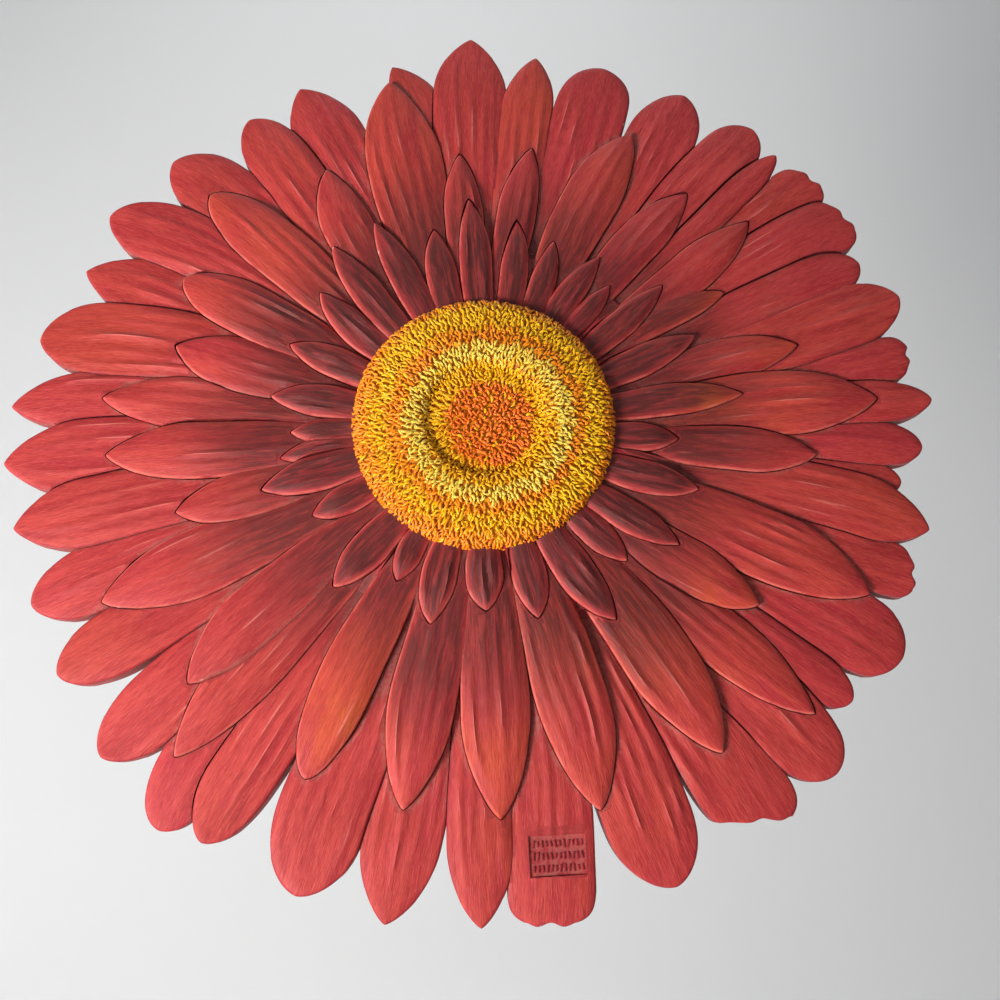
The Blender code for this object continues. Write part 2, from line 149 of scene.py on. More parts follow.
# The petals. Each row: angle of the tip in degrees, reach in hundredths of the flower's radius,
# angle where the petal is widest, half of its width in hundredths, its end, how many steps it lies
# above the ring's lowest petals, and how orange its paint is at its root half and at its tip half
OUTER_PETALS = (
    (92.0, 101.7, 92.5, 8.6, OGIVE, 1.0, 0.1, 0.1),
    (103.3, 96.3, 100.5, 6.3, OGIVE, 0.0, 0.1, 0.2),
    (116.6, 97.7, 116.0, 8.0, OGIVE, 0.0, 0.0, 0.1),
    (125.0, 95.7, 124.9, 7.1, ROUND, 1.0, 0.3, 0.3),
    (137.0, 98.5, 135.5, 8.2, ROUND, 0.0, 0.0, 0.1),
    (148.2, 100.0, 146.0, 7.5, ROUND, 1.0, 0.0, 0.0),
    (156.2, 97.3, 155.2, 6.9, OGIVE, 0.0, 0.1, 0.2),
    (167.0, 99.7, 164.5, 8.5, ROUND, 1.2, 0.2, 0.3),
    (176.0, 102.0, 174.3, 6.5, OGIVE, 0.0, 0.0, 0.0),
    (183.3, 101.9, 182.8, 8.0, OGIVE, 0.6, 0.0, 0.1),
    (191.6, 99.9, 191.3, 7.5, OGIVE, 1.2, 0.0, 0.1),
    (201.3, 99.3, 200.8, 7.3, ROUND, 0.0, 0.1, 0.1),
    (210.5, 99.2, 210.3, 6.8, ROUND, 0.9, 0.1, 0.2),
    (221.2, 100.4, 220.8, 7.2, ROUND, 0.5, 0.0, 0.1),
    (231.8, 101.9, 229.6, 6.7, BLUNT, 0.0, 0.0, 0.1),
    (236.5, 98.7, 236.0, 6.7, ROUND, 1.2, 0.1, 0.2),
    (248.8, 98.8, 248.1, 9.0, ROUND, 0.7, 0.0, 0.1),
    (259.2, 99.1, 259.3, 7.7, OGIVE, 0.0, 0.1, 0.2),
    (270.0, 98.0, 269.8, 6.5, OGIVE, 1.2, 0.2, 0.3),
    (277.7, 98.9, 279.2, 8.6, NOTCHED, 0.9, 0.1, 0.1),
    (292.8, 98.2, 292.8, 8.8, ROUND, 0.6, 0.2, 0.3),
    (305.4, 96.6, 305.8, 9.0, NOTCHED, 0.0, 0.1, 0.1),
    (315.6, 99.2, 316.0, 7.7, BLUNT, 0.8, 0.0, 0.1),
    (323.8, 93.2, 323.4, 5.0, BLUNT, 0.5, 0.0, 0.1),
    (331.8, 98.2, 332.2, 8.4, BLUNT, 0.0, 0.1, 0.1),
    (342.3, 95.5, 342.0, 5.9, NOTCHED, 0.3, 0.1, 0.1),
    (348.5, 96.7, 349.8, 6.9, OGIVE, 1.2, 0.2, 0.3),
    (354.4, 90.3, 354.6, 4.3, BLUNT, 0.0, 0.1, 0.1),
    (359.6, 95.3, 360.2, 5.1, BLUNT, 0.5, 0.0, 0.1),
    (6.0, 99.1, 6.3, 4.9, ROUND, 1.0, 0.0, 0.1),
    (12.6, 97.1, 12.2, 5.3, NOTCHED, 0.3, 0.1, 0.1),
    (20.5, 100.0, 20.0, 7.5, ROUND, 1.4, 0.2, 0.3),
    (26.8, 95.6, 27.2, 5.7, BLUNT, 0.9, 0.1, 0.1),
    (33.3, 100.3, 34.0, 7.2, NOTCHED, 0.5, 0.2, 0.1),
    (40.3, 100.8, 40.6, 6.4, NOTCHED, 0.1, 0.2, 0.2),
    (46.1, 98.4, 46.0, 3.5, ROUND, 0.9, 0.2, 0.2),
    (51.0, 100.4, 51.4, 7.1, BLUNT, 0.6, 0.0, 0.0),
    (61.5, 99.2, 61.0, 8.1, ROUND, 0.0, 0.1, 0.0),
    (73.0, 98.1, 73.0, 8.6, BLUNT, 0.8, 0.1, 0.1),
    (82.8, 97.1, 83.1, 6.1, OGIVE, 1.5, 0.4, 0.5),
)
MIDDLE_PETALS = (
    (104.3, 91.2, 105.6, 8.7, OGIVE, 0.0, 0.2, 0.4),
    (119.4, 73.5, 122.0, 5.7, OGIVE, 0.3, 0.1, 0.1),
    (137.2, 84.8, 136.7, 6.7, ROUND, 0.0, 0.4, 0.4),
    (151.4, 75.6, 151.2, 6.1, ROUND, 0.6, 0.3, 0.3),
    (163.2, 69.7, 163.7, 6.1, OGIVE, 0.6, 0.2, 0.4),
    (174.1, 82.0, 173.8, 6.0, OGIVE, 0.0, 0.1, 0.1),
    (183.3, 79.7, 183.5, 6.3, OGIVE, 0.6, 0.1, 0.2),
    (195.0, 65.9, 195.3, 5.1, OGIVE, 0.6, 0.2, 0.1),
    (204.7, 85.3, 205.2, 7.2, OGIVE, 0.0, 0.2, 0.1),
    (221.6, 78.4, 220.0, 6.3, OGIVE, 0.8, 0.0, 0.0),
    (227.6, 89.6, 226.6, 6.3, OGIVE, 0.0, 0.1, 0.1),
    (319.2, 88.3, 318.6, 6.1, OGIVE, 0.0, 0.3, 0.4),
    (337.5, 86.8, 338.3, 7.6, OGIVE, 0.4, 0.4, 0.3),
    (357.2, 71.1, 357.2, 4.9, OGIVE, 0.8, 0.1, 0.1),
    (6.5, 86.3, 7.2, 7.3, OGIVE, 0.4, 0.6, 0.5),
    (17.6, 72.4, 18.6, 4.8, OGIVE, 0.0, 0.1, 0.7),
    (32.7, 63.3, 34.4, 3.2, OGIVE, 0.2, 0.3, 0.9),
    (41.0, 79.6, 40.2, 5.1, OGIVE, 0.0, 0.3, 0.2),
    (52.0, 75.1, 53.2, 5.2, OGIVE, 0.0, 0.1, 0.1),
    (65.4, 82.1, 67.0, 6.5, OGIVE, 0.6, 0.2, 0.3),
)
UPPER_PETALS = (
    (243.8, 78.4, 242.3, 5.9, ROUND, 0.3, 0.5, 1.0),
    (258.6, 77.7, 258.0, 6.7, OGIVE, 0.3, 0.1, 0.3),
    (272.7, 78.1, 272.5, 6.9, OGIVE, 0.3, 0.2, 0.7),
    (286.9, 79.7, 287.9, 7.2, OGIVE, 0.0, 0.4, 0.3),
    (306.0, 80.8, 307.0, 7.3, OGIVE, 0.4, 0.5, 0.3),
    (327.5, 66.9, 326.2, 5.7, OGIVE, 0.3, 0.3, 0.8),
    (81.2, 70.8, 82.2, 4.4, OGIVE, 0.0, 0.1, 0.3),
    (94.8, 68.3, 95.2, 4.4, OGIVE, 0.0, 0.2, 0.2),
)
INNER_PETALS = (
    (9.7, 56.4, 10.8, 3.6, OGIVE, 0.0, 0.0, 1.0),
    (26.5, 51.2, 25.8, 3.5, OGIVE, 0.0, 0.0, 0.1),
    (41.6, 52.4, 40.0, 3.2, OGIVE, 0.0, 0.0, 0.0),
    (51.3, 44.0, 50.8, 2.5, OGIVE, 0.0, 0.0, 0.0),
    (58.3, 48.4, 59.6, 3.1, OGIVE, 0.0, 0.0, 0.0),
    (71.2, 47.6, 69.6, 2.9, OGIVE, 0.0, 0.0, 0.0),
    (81.8, 50.5, 80.0, 3.1, OGIVE, 0.0, 0.0, 0.0),
    (93.7, 55.5, 92.8, 3.6, OGIVE, 0.3, 0.0, 0.0),
    (103.3, 48.9, 104.6, 3.5, OGIVE, 0.0, 0.0, 0.0),
    (116.5, 55.1, 116.0, 3.5, OGIVE, 0.0, 0.0, 0.0),
    (127.8, 54.8, 128.8, 3.6, OGIVE, 0.3, 0.0, 0.0),
    (138.2, 48.0, 140.2, 3.5, OGIVE, 0.0, 0.0, 0.0),
    (154.7, 46.1, 154.2, 3.5, OGIVE, 0.0, 0.0, 0.0),
    (170.2, 45.6, 169.2, 3.6, OGIVE, 0.3, 0.0, 0.0),
    (180.5, 40.4, 180.5, 2.9, OGIVE, 0.0, 0.0, 0.0),
    (188.0, 42.7, 187.2, 2.7, OGIVE, 0.0, 0.0, 0.0),
    (195.7, 47.6, 195.2, 3.9, OGIVE, 0.3, 0.0, 0.0),
    (207.6, 39.5, 208.0, 3.2, OGIVE, 0.0, 0.0, 0.0),
    (227.5, 44.7, 227.4, 4.0, OGIVE, 0.0, 0.0, 0.0),
    (241.4, 36.4, 240.2, 2.8, OGIVE, 0.0, 0.0, 0.0),
    (255.4, 41.9, 254.0, 3.7, OGIVE, 0.3, 0.0, 0.1),
    (271.0, 38.0, 270.4, 3.9, OGIVE, 0.0, 0.0, 0.0),
    (285.7, 40.9, 287.0, 3.6, OGIVE, 0.0, 0.0, 0.0),
    (304.2, 47.7, 302.2, 4.1, OGIVE, 0.3, 0.0, 0.0),
    (317.0, 40.1, 316.6, 3.3, OGIVE, 0.0, 0.0, 0.0),
    (329.3, 46.9, 328.8, 3.5, OGIVE, 0.3, 0.0, 0.0),
    (345.0, 46.4, 344.0, 3.6, OGIVE, 0.0, 0.0, 0.0),
    (358.5, 41.1, 358.3, 3.2, OGIVE, 0.0, 0.0, 0.0),
)
PETALS = ((OUTER, OUTER_PETALS), (MIDDLE, MIDDLE_PETALS), (UPPER, UPPER_PETALS), (INNER, INNER_PETALS))

# What each point of the relief carries for the paint
MASKS = ("across", "along", "edge", "rib", "orange", "index", "share", "ring")
GROUND_MASKS = {"edge": 0.003, "index": 200.0, "ring": 4.0}


def ground_height(radius):
    """The ground of the relief rises evenly from the rim to the foot of the eye."""
    share = (FLOWER_RADIUS - radius) / (FLOWER_RADIUS - EYE_RADIUS)
    return RIM_THICKNESS + (FOOT_THICKNESS - RIM_THICKNESS) * share


def smooth_step(low, high, value):
    part = np.clip((value - low) / (high - low), 0.0, 1.0)
    return part * part * (3.0 - 2.0 * part)


def petal_width(share, ring, end):
    """Half of the width at each share of the length, as a share of the half-width at the widest place."""
    widest, start = ring["widest"], ring["start"]
    rising = start + (1.0 - start) * np.sin(0.5 * math.pi * np.clip(share / widest, 0.0, 1.0))
    beyond = np.clip((share - widest) / (1.0 - widest), 0.0, 1.0)
    falling = np.maximum(0.0, 1.0 - beyond ** end[0]) ** end[1]
    return np.where(share < widest, rising, falling) * (1.0 + 2.0 * np.minimum(share, 0.0))


def petal_axis(share, ring, petal):
    """The midrib's points at the shares of the petal's length."""
    tip_angle, reach, wide_angle = petal[:3]
    root = ring["root"] * FLOWER_RADIUS
    radius = root + (reach * 0.01 * FLOWER_RADIUS - root) * share
    lean = (wide_angle - tip_angle) * (1.0 - share ** 2) / (1.0 - ring["widest"] ** 2)
    angle = np.radians(tip_angle + lean)
    return radius * np.cos(angle), radius * np.sin(angle)


def petal_rows(ring, end, length):
    """Shares of the length, closer together towards the tip; all but the outer ones start under the eye."""
    first, count = 0.0, ring["rows"]
    if ring is not OUTER:
        first = min(0.0, (ROOT_REACH * EYE_RADIUS - ring["root"] * FLOWER_RADIUS) / length)
    near = np.linspace(first, ring["widest"], count // 2, endpoint=False)
    part = np.linspace(0.0, 1.0, count - count // 2 + 1)
    beyond = 1.0 - (1.0 - part) ** 2.0
    last = 0.955 if end is NOTCHED else 0.9994
    return np.concatenate([near, ring["widest"] + (1.0 - ring["widest"]) * beyond * last])


def petal_folds(half_width, rng):
    """The soft folds along a petal.

    Each has its place across, its strength, its start and finish, and the phase and breadth of its sway.
    """
    count = max(3, int(round(half_width / FOLD_SPACING)))
    places = (np.arange(count) - 0.5 * (count - 1)) / (0.5 * count + 0.30)
    return list(zip(
        places + rng.uniform(-0.10, 0.10, count) * 2.5 / count,
        rng.uniform(0.35, 1.0, count),
        rng.uniform(-0.05, 0.40, count),
        rng.uniform(0.70, 0.99, count),
        rng.uniform(0.0, 2.0 * math.pi, count),
        rng.uniform(0.75, 1.25, count),
    ))


def petal_columns(half_width):
    """Shares of the half-width: four close together on each edge, and even ones between."""
    roll = EDGE_ROLL / half_width
    edge = [1.0, 1.0 - 0.12 * roll, 1.0 - 0.40 * roll, 1.0 - roll]
    count = max(6, int(round(2.0 * half_width / COLUMN_STEP)))
    between = np.linspace(-edge[-1], edge[-1], count)
    return np.concatenate([[-value for value in edge[:-1]], between, edge[-2::-1]])


def edge_distance(share, across, ring, petal, length):
    """About how far each point of the petal lies from its outline."""
    half_width, end = petal[3] * 0.01 * FLOWER_RADIUS, petal[4]
    width = petal_width(share, ring, end)
    side = (1.0 - np.abs(across)) * half_width * width
    level = np.clip(np.abs(across) * width, 0.0, 1.0)
    beyond = (1.0 - level ** (1.0 / end[1])) ** (1.0 / end[0])
    reach = ring["widest"] + (1.0 - ring["widest"]) * beyond
    if end is NOTCHED:
        reach = np.minimum(reach, ring["widest"] + (1.0 - ring["widest"]) * 0.955)
    front = np.maximum(0.0, reach - share) * length
    return side * front / np.sqrt(side ** 2 + front ** 2 + 1e-12)


def fold_marks(share, column, half_width, width, rng):
    """Where the folds run over a petal: plain, and times the strength of each."""
    rib, fold = np.zeros_like(share), np.zeros_like(share)
    for place, strength, start, finish, phase, breadth in petal_folds(half_width, rng):
        fading = 1.0 - smooth_step(finish - 0.2, finish, share)
        lasting = smooth_step(start, start + 0.25, share) * fading
        lasting = lasting * (0.75 + 0.25 * np.sin(9.0 * share + phase))
        middle = place + 0.05 * np.sin(5.0 * share + phase)
        distance = np.abs(column - middle) * half_width * np.maximum(width, 0.3)
        away = distance / (FOLD_HALF_WIDTH * breadth)
        ridge = 0.5 + 0.5 * np.cos(math.pi * np.minimum(away, 1.0))
        rib = np.maximum(rib, lasting * ridge)
        fold = np.maximum(fold, strength * lasting * ridge)
    return rib, fold


def uneven_lie(share, across, edge, phase, rng):
    """How a petal tilts and swells a little along its length."""
    tilt = rng.uniform(-1.0, 1.0)
    swell = np.sin(2.0 * math.pi * 1.2 * share + phase) * smooth_step(0.0, 2.5 * MM, edge)
    return LIE * (tilt * across * 0.6 + 0.5 * swell)


def petal_surface(ring, petal, index, rng):
    """The petal's top as a grid of points, with what its paint needs to know of each of them."""
    half_width, end, steps = petal[3] * 0.01 * FLOWER_RADIUS, petal[4], petal[5]
    length = (petal[1] * 0.01 - ring["root"]) * FLOWER_RADIUS
    shares = petal_rows(ring, end, length)
    share, column = np.meshgrid(shares, petal_columns(half_width), indexing="ij")

    sway = rng.uniform(0.0, 2.0 * math.pi, 3)
    bend = 0.035 * np.sin(2.0 * math.pi * (0.9 * share) + sway[0])
    bend = bend + 0.018 * np.sin(2.0 * math.pi * (1.7 * share) + 4.0 * column + sway[1])
    across = column + (1.0 - column ** 2) * bend

    x, y = petal_axis(share, ring, petal)
    back_x, back_y = petal_axis(share - 0.01, ring, petal)
    step = np.hypot(x - back_x, y - back_y)
    along_x, along_y = (x - back_x) / step, (y - back_y) / step
    width = petal_width(share, ring, end)
    wave = 1.0 + 0.018 * np.sin(2.0 * math.pi * 2.3 * share + sway[2]) * np.sign(across) * (share < 0.9)
    offset = across * half_width * width * wave
    shift = np.zeros_like(share)
    if end is NOTCHED:
        lobes = NOTCH_DEPTH * (SLANTS[petal[0]] * across - 0.35 * np.cos(2.0 * math.pi * across))
        shift = lobes * np.clip((share - 0.6) / 0.4, 0.0, None) ** 2

    edge = edge_distance(share, across, ring, petal, length)
    rolled = np.sqrt(1.0 - (1.0 - np.clip(edge / EDGE_ROLL, 0.0, 1.0)) ** 2)
    rib, fold = fold_marks(share, column, half_width, width, rng)

    height = ground_height(np.hypot(x, y)) + ring["lift"] + steps * PETAL_STEP
    height = height + EDGE_RISE * rolled + ring["dome"] * (1.0 - across ** 2) * width ** 0.6
    height = height - TIP_ROLL * smooth_step(0.7, 1.0, share)
    height = height + uneven_lie(share, across, edge, sway[1], rng)
    height = height + FOLD_HEIGHT * fold * smooth_step(0.2 * MM, 1.8 * MM, edge)

    tips = smooth_step(0.45, 0.8, share)
    return {
        "x": x - along_y * offset + along_x * shift,
        "y": y + along_x * offset + along_y * shift,
        "height": height,
        "across": offset,
        "along": share * length,
        "share": share,
        "edge": edge,
        "rib": rib,
        "orange": petal[6] * (1.0 - tips) + petal[7] * tips,
        "index": np.full_like(share, index),
        "ring": np.full_like(share, ring["number"]),
    }


def world_points(x, y, height):
    return np.stack([x, -height, y], axis=-1)


def write_mask(mesh, name, values):
    attribute = mesh.attributes.get(name) or mesh.attributes.new(name, "FLOAT", "POINT")
    attribute.data.foreach_set("value", np.ascontiguousarray(values, dtype=np.float32))


def make_mesh(name, points, faces, masks):
    """A mesh from points and faces, with one named value for each point and mask."""
    mesh = bpy.data.meshes.new(name)
    mesh.from_pydata(points.tolist(), [], faces)
    for mask, values in masks.items():
        write_mask(mesh, mask, values)
    return mesh


def turn_outwards(mesh):
    shape = bmesh.new()
    shape.from_mesh(mesh)
    bmesh.ops.recalc_face_normals(shape, faces=shape.faces)
    shape.to_mesh(mesh)
    shape.free()


def paint_all(mesh, slot):
    """Gives every face of the mesh one material slot."""
    mesh.polygons.foreach_set("material_index", np.full(len(mesh.polygons), slot, np.int32))


def make_object(name, mesh, group=None):
    obj = bpy.data.objects.new(name, mesh)
    (group or bpy.context.scene.collection).objects.link(obj)
    return obj


def add_part(name, points, faces, masks, slot, group):
    """A closed part of the relief, or a cutter for it, whose faces all have one material slot."""
    mesh = make_mesh(name, points, faces, masks)
    paint_all(mesh, slot)
    turn_outwards(mesh)
    return make_object(name, mesh, group)


def make_petal(name, ring, petal, index, behind, rng, group):
    """A closed petal: its carved top, walls drawn in a little below it, and a flat underside.

    Gives the outline of its top, for the groove round it.
    """
    top = petal_surface(ring, petal, index, rng)
    rows, columns = top["x"].shape
    count = rows * columns
    grid = np.arange(count).reshape(rows, columns)
    corners = (grid[:-1, :-1], grid[:-1, 1:], grid[1:, 1:], grid[1:, :-1])
    faces = np.stack(corners, axis=-1).reshape(-1, 4).tolist()
    loop = np.concatenate([grid[0, :], grid[1:, -1], grid[-1, -2::-1], grid[-2:0:-1, 0]])

    middle_x, middle_y = petal_axis(top["share"], ring, petal)
    x, y, height = top["x"].ravel()[loop], top["y"].ravel()[loop], top["height"].ravel()[loop]
    inward_x, inward_y = middle_x.ravel()[loop] - x, middle_y.ravel()[loop] - y
    reach = np.hypot(inward_x, inward_y) + 1e-9
    is_outer = ring is OUTER
    drawn_in = 0.0 if is_outer else UNDERCUT
    wall = OUTER_WALL_HEIGHT if is_outer else WALL_HEIGHT
    pull = np.minimum(drawn_in, 0.5 * reach) / reach
    ledge = world_points(x + inward_x * pull, y + inward_y * pull, height - wall)
    under = ledge.copy()
    under[:, 1] = behind

    points = np.concatenate([world_points(top["x"], top["y"], top["height"]).reshape(-1, 3), ledge, under])
    size = len(loop)
    for k in range(size):
        after = (k + 1) % size
        faces.append([int(loop[after]), int(loop[k]), count + k, count + after])
        faces.append([count + after, count + k, count + size + k, count + size + after])
    faces.append([count + size + k for k in reversed(range(size))])
    masks = {}
    for mask in MASKS:
        values = top[mask].ravel()
        masks[mask] = np.concatenate([values, values[loop], values[loop]])
    add_part(name, points, faces, masks, PETAL, group)
    return x, y, height, top["share"].ravel()[loop]


def make_groove(name, outline, group):
    """A cutter a little wider than a petal, which leaves a narrow groove round the petal, dark with painted
    shade.
    """
    x, y, height, share = (values[::2] for values in outline)
    step_x = np.roll(x, -1) - np.roll(x, 1)
    step_y = np.roll(y, -1) - np.roll(y, 1)
    length = np.hypot(step_x, step_y) + 1e-9
    winding = np.sign(np.sum(x * np.roll(y, -1) - np.roll(x, -1) * y))
    beyond_root = smooth_step(0.15, 0.35, share)
    wider = GROOVE_WIDTH * (2.0 * beyond_root - 1.0)
    x = x + wider * winding * step_y / length
    y = y - wider * winding * step_x / length
    size = len(x)
    low = world_points(x, y, height - GROOVE_DEPTH)
    high = world_points(x, y, height + GROOVE_ROOM)
    points = np.concatenate([low, high])
    faces = [[k, (k + 1) % size, size + (k + 1) % size, size + k] for k in range(size)]
    faces += [list(reversed(range(size))), list(range(size, 2 * size))]
    masks = {mask: np.zeros(len(points)) for mask in MASKS}
    add_part(name, points, faces, masks, GROOVE, group)


def eye_path(count):
    """The eye's surface as radii and heights from its middle to the foot of its side."""
    places = np.array([0.0, 0.20, 0.34, 0.43, 0.50, 0.61, 0.90, 0.98, 1.0, 1.0])
    heights = np.array([
        EYE_CORE, EYE_CORE, EYE_DISH + 0.5 * MM, EYE_DISH, EYE_CREST - 0.3 * MM, EYE_CREST, EYE_SHOULDER,
        EYE_SHOULDER - 1.6 * MM, EYE_SHOULDER - 3.2 * MM, FOOT_THICKNESS + INNER["lift"] - 1.0 * MM,
    ]) - 0.6 * MM
    radii = places * (EYE_RADIUS - 0.6 * MM)
    travelled = np.concatenate([[0.0], np.cumsum(np.hypot(np.diff(radii), np.diff(heights)))])
    wanted = np.linspace(0.0, travelled[-1], count)
    radius = np.interp(wanted, travelled, radii)
    height = np.interp(wanted, travelled, heights)
    for _ in range(int(0.03 * count)):
        radius[1:-1] = 0.25 * radius[:-2] + 0.5 * radius[1:-1] + 0.25 * radius[2:]
        height[1:-1] = 0.25 * height[:-2] + 0.5 * height[1:-1] + 0.25 * height[2:]
    return radius, height


def make_turned(name, radius, height, up, slot, group):
    """A closed solid turned about the eye, by radii, heights and upward shifts from its top to its foot."""
    around = 160
    angle = np.arange(around) * 2.0 * math.pi / around
    x = radius[1:, None] * np.cos(angle)
    y = radius[1:, None] * np.sin(angle) + up[1:, None]
    lathed = world_points(x, y, np.repeat(height[1:, None], around, axis=1)).reshape(-1, 3)
    points = np.concatenate([lathed, [[0.0, -height[0], up[0]]]])
    faces = []
    for i in range(len(radius) - 2):
        for k in range(around):
            after = (k + 1) % around
            low, high = i * around, (i + 1) * around
            faces.append([low + k, low + after, high + after, high + k])
    faces += [[k, len(points) - 1, (k + 1) % around] for k in range(around)]
    faces.append([(len(radius) - 2) * around + k for k in range(around)])
    masks = {mask: np.zeros(len(points)) for mask in MASKS}
    for mask, value in GROUND_MASKS.items():
        masks[mask] = np.full(len(points), value)
    return add_part(name, points, faces, masks, slot, group)


def make_ground(group):
    """The ground under the petals, which rises in a collar towards the eye."""
    collar = np.linspace(0.8 * EYE_RADIUS, COLLAR_REACH, 18)
    near = (1.0 - smooth_step(1.06 * EYE_RADIUS, COLLAR_REACH, collar)) ** 1.6
    edge = GROUND_SHARE * FLOWER_RADIUS
    radius = np.concatenate([[0.0], collar, [edge, edge]])
    top = ground_height(collar) + COLLAR_HEIGHT * near - GROUND_DROP
    height = np.concatenate([[top[0]], top, [ground_height(edge) - GROUND_DROP, -1.0 * MM]])
    up = EYE_UP * np.concatenate([[1.0], near, [0.0, 0.0]])
    return make_turned("ground", radius, height, up, PETAL, group)


def make_eye(group):
    radius, height = eye_path(60)
    radius = np.concatenate([radius, [radius[-1]]])
    height = np.concatenate([height, [0.5 * FOOT_THICKNESS]])
    return make_turned("eye", radius, height, np.full(len(radius), EYE_UP), EYE, group)


def add_shape(name, shape, slot, group):
    mesh = bpy.data.meshes.new(name)
    shape.to_mesh(mesh)
    shape.free()
    paint_all(mesh, slot)
    return make_object(name, mesh, group)


def make_block(name, size, centre, group, turn=0.0, tilt=0.0, slot=PETAL):
    """A box: size and centre in the plane of the back and in height, turned in that plane."""
    shape = bmesh.new()
    bmesh.ops.create_cube(shape, size=1.0)
    obj = add_shape(name, shape, slot, group)
    obj.scale = (size[0], size[2], size[1])
    obj.location = (centre[0], -centre[2], centre[1])
    obj.rotation_mode = "YXZ"
    obj.rotation_euler = (tilt, -turn, 0.0)
    return obj


def make_disc(name, radius, from_height, to_height, y, group):
    """A round cutter that stands square to the back."""
    shape = bmesh.new()
    bmesh.ops.create_cone(
        shape, cap_ends=True, segments=48, radius1=radius, radius2=radius, depth=to_height - from_height)
    obj = add_shape(name, shape, BACK, group)
    obj.rotation_euler = (0.5 * math.pi, 0.0, 0.0)
    obj.location = (0.0, -0.5 * (from_height + to_height), y)
    return obj


def make_keyhole(group):
    top = KEYHOLE_HEIGHT + KEYHOLE_RISE
    middle = KEYHOLE_HEIGHT + 0.5 * KEYHOLE_RISE
    room = KEYHOLE_DEPTH - KEYHOLE_LIP
    make_disc("keyhole_entry", KEYHOLE_ENTRY, -1.0 * MM, KEYHOLE_DEPTH, KEYHOLE_HEIGHT, group)
    make_block(
        "keyhole_slot", (KEYHOLE_SLOT, KEYHOLE_RISE, KEYHOLE_DEPTH),
        (0.0, middle, 0.5 * KEYHOLE_DEPTH - 1.0 * MM), group, slot=BACK)
    make_disc("keyhole_slot_end", 0.5 * KEYHOLE_SLOT, -1.0 * MM, KEYHOLE_DEPTH - 0.2 * MM, top, group)
    make_block(
        "keyhole_room", (2.0 * KEYHOLE_ENTRY - 0.2 * MM, KEYHOLE_RISE, room - 0.1 * MM),
        (0.0, middle, KEYHOLE_LIP + 0.5 * (room - 0.1 * MM)), group, slot=BACK)


def field_face():
    """The height of the sunk field's floor, and how steeply the petal there slopes."""
    steps = min(OUTER_PETALS, key=lambda petal: abs(petal[0] - FIELD_ANGLE))[5]
    face = ground_height(FIELD_REACH) + OUTER["lift"] + steps * PETAL_STEP + EDGE_RISE + 0.8 * OUTER["dome"]
    slope = (FOOT_THICKNESS - RIM_THICKNESS) / (FLOWER_RADIUS - EYE_RADIUS)
    return face - FIELD_DEPTH, math.atan(slope)


def field_point(right, up):
    """A point of the label field, from its middle, in the plane of the back."""
    angle, turn = math.radians(FIELD_ANGLE), math.radians(FIELD_TURN)
    x = FIELD_REACH * math.cos(angle) + right * math.cos(turn) - up * math.sin(turn)
    y = FIELD_REACH * math.sin(angle) + right * math.sin(turn) + up * math.cos(turn)
    return x, y


def make_field(group):
    floor, tilt = field_face()
    x, y = field_point(0.0, 0.0)
    make_block(
        "label_field", (FIELD_WIDTH, FIELD_HEIGHT, 6.0 * MM), (x, y, floor + 3.0 * MM), group,
        math.radians(FIELD_TURN), tilt)


def make_strokes(group, rng):
    """Three rows of short raised strokes, all of one plain kind, where the object bears a stamp."""
    floor, tilt = field_face()
    rows, strokes = 3, 12
    for row in range(rows):
        up = (1.0 - row) * 0.30 * FIELD_HEIGHT
        for k in range(strokes):
            right = (k - 0.5 * (strokes - 1)) * 0.077 * FIELD_WIDTH
            tall = FIELD_HEIGHT * rng.uniform(0.13, 0.20)
            x, y = field_point(right, up)
            make_block(
                f"stroke_{row}_{k}", (0.40 * MM, tall, 0.8 * MM),
                (x, y, floor + math.tan(tilt) * up), group,
                math.radians(FIELD_TURN + rng.uniform(-16.0, 16.0)), tilt)


def new_collection(name):
    group = bpy.data.collections.new(name)
    bpy.context.scene.collection.children.link(group)
    return group


def boolean(target, operation, group):
    """Joins the group to the target, or cuts it away, keeps the result, and clears the group."""
    modifier = target.modifiers.new(operation.lower(), "BOOLEAN")
    modifier.operation = operation
    modifier.solver = "MANIFOLD"
    modifier.operand_type = "COLLECTION"
    modifier.collection = group
    bpy.context.view_layer.update()
    result = bpy.data.meshes.new_from_object(target.evaluated_get(bpy.context.evaluated_depsgraph_get()))
    target.modifiers.clear()
    target.data = result
    for obj in list(group.objects):
        bpy.data.objects.remove(obj)


def read_mask(mesh, name):
    values = np.zeros(len(mesh.vertices), np.float32)
    mesh.attributes[name].data.foreach_get("value", values)
    return values


def mesh_points(mesh):
    points = np.zeros(len(mesh.vertices) * 3, np.float32)
    mesh.vertices.foreach_get("co", points)
    return points.reshape(-1, 3)


def blurred(field, passes):
    for _ in range(passes):
        field = 0.25 * np.roll(field, 1, 0) + 0.5 * field + 0.25 * np.roll(field, -1, 0)
        field = 0.25 * np.roll(field, 1, 1) + 0.5 * field + 0.25 * np.roll(field, -1, 1)
    return field


def add_hollow(mesh):
    """How deep each point lies in a hollow of the relief, in millimetres."""
    cell = 0.5 * MM
    size = int(2.2 * FLOWER_RADIUS / cell)
    points = mesh_points(mesh)
    column = np.clip(((points[:, 0] / cell) + 0.5 * size).astype(int), 0, size - 1)
    row = np.clip(((points[:, 2] / cell) + 0.5 * size).astype(int), 0, size - 1)
    height = -points[:, 1]
    field = np.zeros((size, size))
    np.maximum.at(field, (row, column), height)
    for _ in range(3):
        spread = np.maximum.reduce([np.roll(field, way, axis) for axis in (0, 1) for way in (1, -1)])
        field = np.where(field > 0.0, field, spread)
    near = blurred(field, 12)
    write_mask(mesh, "hollow", (near[row, column] - height) / MM)


